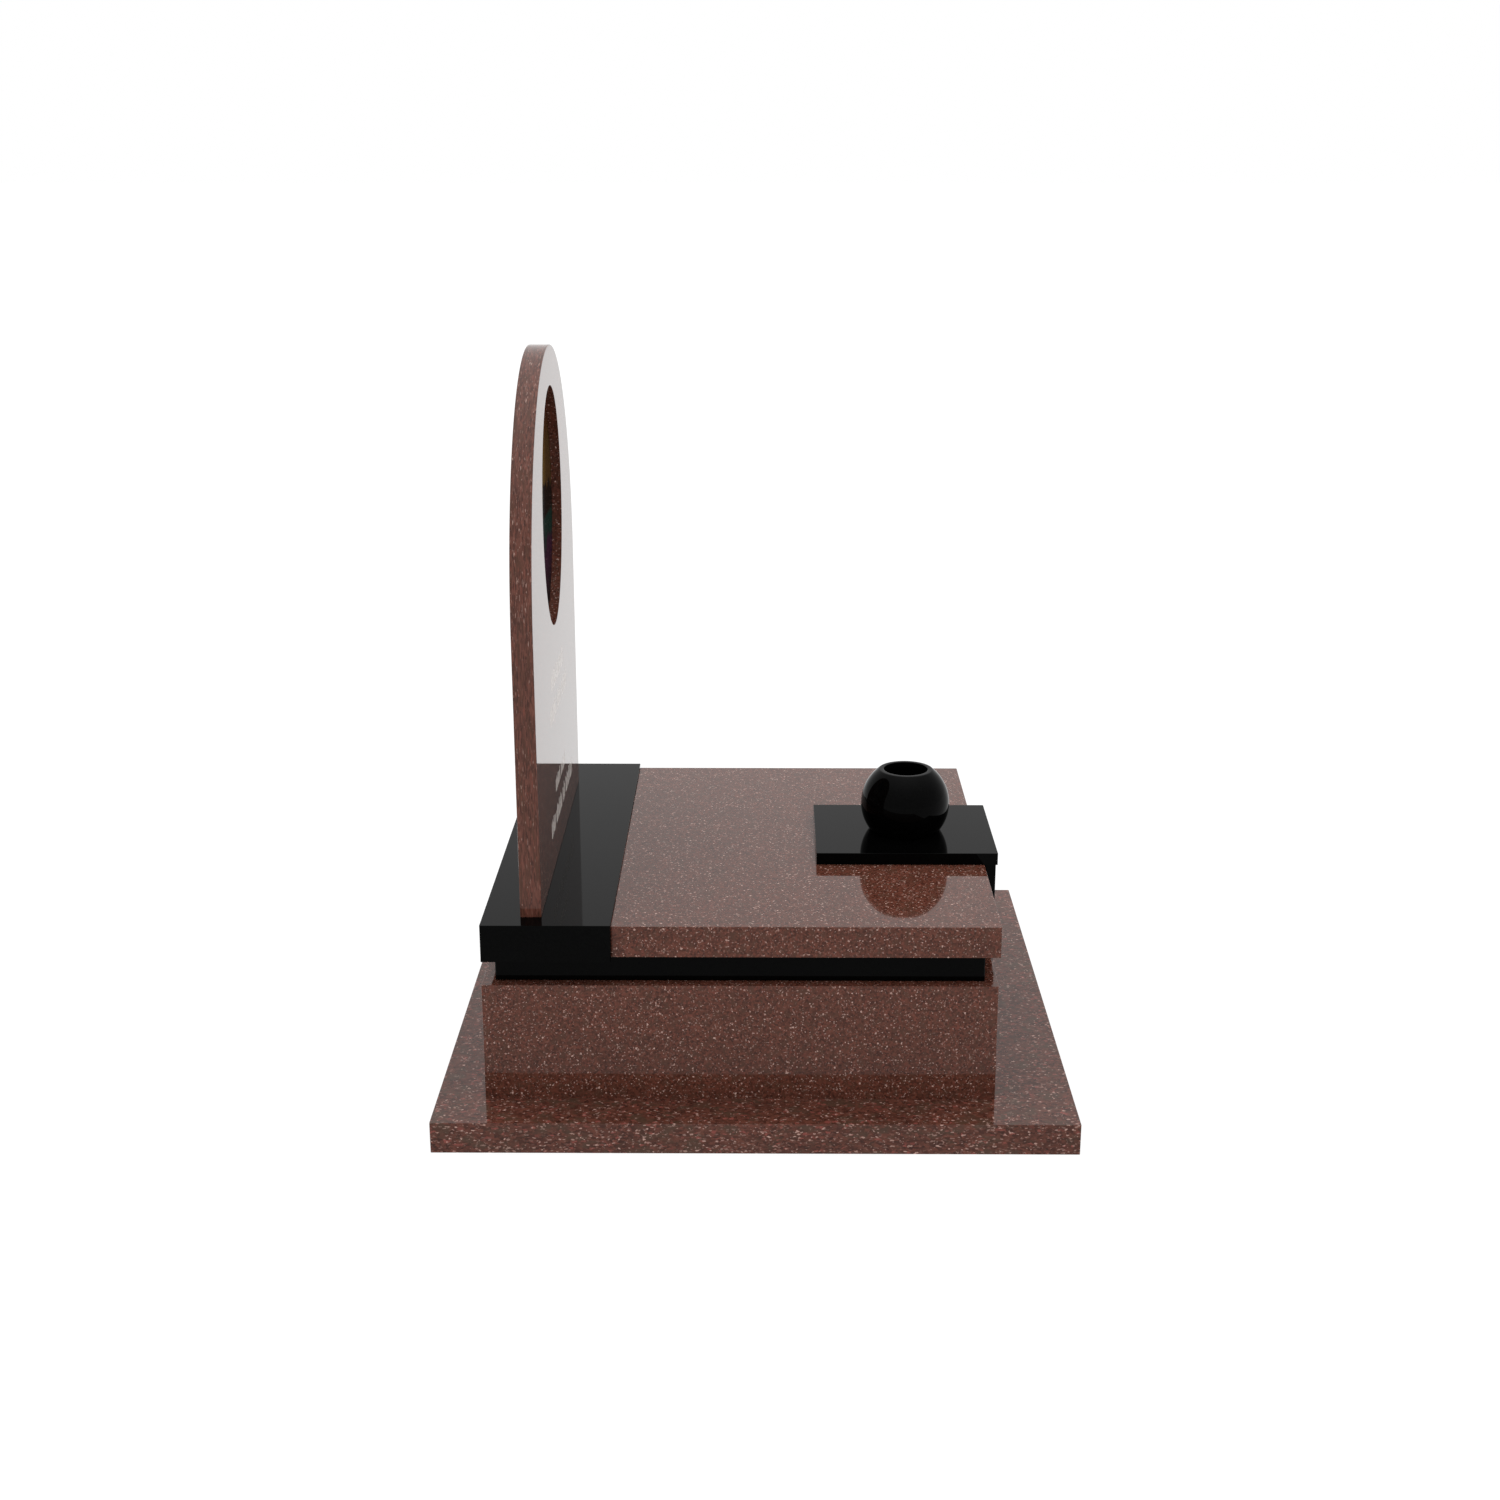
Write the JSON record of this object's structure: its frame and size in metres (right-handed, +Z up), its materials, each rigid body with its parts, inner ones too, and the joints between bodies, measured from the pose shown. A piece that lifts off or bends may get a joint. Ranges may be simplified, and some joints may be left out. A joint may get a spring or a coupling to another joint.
{
  "type": "urn headstone",
  "caption": "Stepped granite cremation monument: arched headstone with an oval picture recess on a lidded urn chamber, with a ball vase on a plate at the front.",
  "frame": {"origin": "middle of the base slab's underside, on the surface that the monument stands on", "axes": "+Z up along the height, front with the vase towards -Y, the headstone's picture looks along -Y, +X to the right seen from the front"},
  "size_m": [1, 1, 1.179],
  "materials": {
    "brown_granite": "polished reddish-brown granite with fine pale flecks",
    "black_granite": "mirror-polished black granite",
    "picture_glaze": "glazed dark picture in gold, teal and purple"
  },
  "bodies": {
    "root": {"base_slab": "brown_granite", "kerb_left": "brown_granite", "kerb_right": "brown_granite", "kerb_front": "brown_granite", "kerb_back": "brown_granite", "course_left": "black_granite", "course_right": "black_granite", "course_front": "black_granite", "course_back": "black_granite", "cover_slab": "brown_granite", "headstone_plinth": "black_granite", "headstone": "brown_granite", "picture_plaque": "picture_glaze", "vase_plate": "black_granite", "vase_upright": "black_granite", "ball_vase": "black_granite"}
  },
  "joints": []
}
